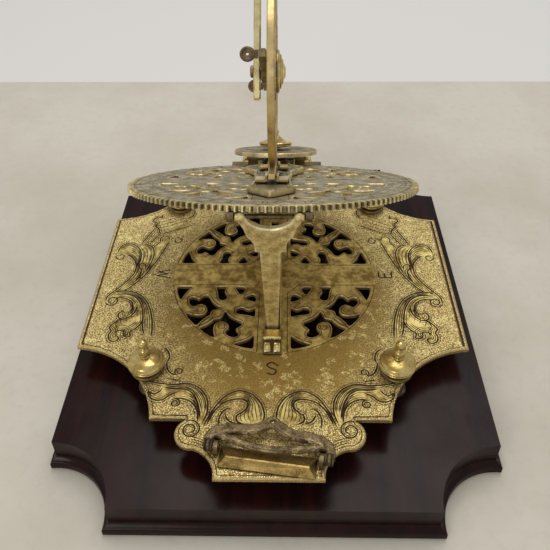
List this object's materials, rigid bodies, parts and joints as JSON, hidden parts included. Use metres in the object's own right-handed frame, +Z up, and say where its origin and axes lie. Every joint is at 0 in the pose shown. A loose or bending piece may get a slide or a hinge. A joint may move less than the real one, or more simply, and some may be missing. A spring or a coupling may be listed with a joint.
{
  "type": "mechanical equinoctial sundial",
  "caption": "Brass equatorial sundial on a mahogany plinth: pierced base plate, toothed hour ring on a prop, turning carriage with geared minute dial and upright sighting circle.",
  "frame": {"origin": "middle of the plinth's underside, where it stands on a table", "axes": "+Z up; -Y is the south edge that the user faces; +X is east, to the right when seen from the south"},
  "size_m": [0.2164, 0.2626, 0.1908],
  "materials": {
    "mahogany": "dark polished mahogany, satin gloss",
    "brass_plate": "stippled and engraved antique brass, brown in the hollows",
    "brass_bright": "polished brass",
    "brass_aged": "engraved grey-brown patina",
    "brass_brown": "dull brown patina"
  },
  "bodies": {
    "base": {"plinth_moulding": "mahogany", "plinth_slab": "mahogany", "base_plate": "brass_plate", "screw_collar_front_left": "brass_plate", "screw_collar_front_right": "brass_plate", "screw_collar_rear_left": "brass_plate", "screw_collar_rear_right": "brass_plate", "screw_cup_front_left": "brass_brown", "screw_cup_front_right": "brass_brown", "screw_cup_rear_left": "brass_brown", "screw_cup_rear_right": "brass_brown", "hinge_block_left": "brass_brown", "hinge_block_right": "brass_brown", "hinge_pin": "brass_bright", "tab_bar": "brass_bright", "bracket_lug_left": "brass_brown", "bracket_lug_right": "brass_brown", "bracket_pin_left": "brass_brown", "bracket_pin_right": "brass_brown"},
    "ring": {"hour_ring": "brass_aged", "ring_tail": "brass_aged", "strut_lug_left": "brass_aged", "strut_lug_right": "brass_aged", "strut_pin": "brass_bright"},
    "strut": {"strut": "brass_plate"},
    "carriage": {"carriage_plate": "brass_aged", "carriage_stud": "brass_aged", "stud_nut": "brass_aged", "declination_circle": "brass_plate", "cleat_front_left": "brass_bright", "cleat_front_right": "brass_bright", "cleat_rear_left": "brass_bright", "cleat_rear_right": "brass_bright", "dial_bush": "brass_aged", "minute_dial": "brass_aged"},
    "minute_work": {"minute_pinion": "brass_plate", "minute_knob": "brass_bright", "minute_hand": "brass_bright"},
    "alidade": {"sight_bar": "brass_brown", "index_arm": "brass_bright", "sight_near": "brass_brown", "sight_far": "brass_brown", "alidade_pivot": "brass_plate", "rosette_nut": "brass_bright"},
    "catch": {"catch_slide": "brass_bright"},
    "bracket": {"plummet_bracket": "brass_brown"},
    "screw_front_left": {"level_screw_front_left": "brass_bright"},
    "screw_front_right": {"level_screw_front_right": "brass_bright"},
    "screw_rear_left": {"level_screw_rear_left": "brass_bright"},
    "screw_rear_right": {"level_screw_rear_right": "brass_bright"}
  },
  "joints": [
    {"name": "ring_tilt", "type": "hinge", "parent": "base", "child": "ring", "pos_m": [-0.002, 0.10853, 0.04199], "axis": [1, 0, 0], "range_deg": [0, 13.6]},
    {"name": "strut_fold", "type": "hinge", "parent": "ring", "child": "strut", "pos_m": [-0.002, -0.05102, 0.11841], "axis": [1, 0, 0], "range_deg": [0, 34.42]},
    {"name": "carriage_turn", "type": "hinge", "parent": "ring", "child": "carriage", "pos_m": [-0.002, 0.0144, 0.0903], "axis": [0, 0.4633, 0.8862], "continuous": true},
    {"name": "minute_turn", "type": "hinge", "parent": "carriage", "child": "minute_work", "pos_m": [-0.002, 0.08388, 0.05398], "axis": [0, 0.4633, 0.8862], "continuous": true},
    {"name": "alidade_turn", "type": "hinge", "parent": "carriage", "child": "alidade", "pos_m": [-0.002, 0.04081, 0.14081], "axis": [1, 0, 0], "continuous": true},
    {"name": "catch_press", "type": "slide", "parent": "base", "child": "catch", "axis": [0, -1, 0], "range_m": [0, 0.004], "stiffness_N_per_m": 150},
    {"name": "bracket_fold", "type": "hinge", "parent": "base", "child": "bracket", "pos_m": [-0.00238, -0.11213, 0.0366], "axis": [0.9917, -0.1288, 0], "range_deg": [0, 95]},
    {"name": "screw_turn_front_left", "type": "hinge", "parent": "base", "child": "screw_front_left", "pos_m": [-0.0635, -0.0641, 0.037], "axis": [0, 0, 1], "continuous": true},
    {"name": "screw_turn_front_right", "type": "hinge", "parent": "base", "child": "screw_front_right", "pos_m": [0.0595, -0.0641, 0.037], "axis": [0, 0, 1], "continuous": true},
    {"name": "screw_turn_rear_left", "type": "hinge", "parent": "base", "child": "screw_rear_left", "pos_m": [-0.0635, 0.0671, 0.037], "axis": [0, 0, 1], "continuous": true},
    {"name": "screw_turn_rear_right", "type": "hinge", "parent": "base", "child": "screw_rear_right", "pos_m": [0.0595, 0.0671, 0.037], "axis": [0, 0, 1], "continuous": true}
  ],
  "couplings": [
    {"joint": "strut_fold", "follows": "ring_tilt", "ratio": 2.4939},
    {"joint": "minute_turn", "follows": "carriage_turn", "ratio": 24}
  ]
}
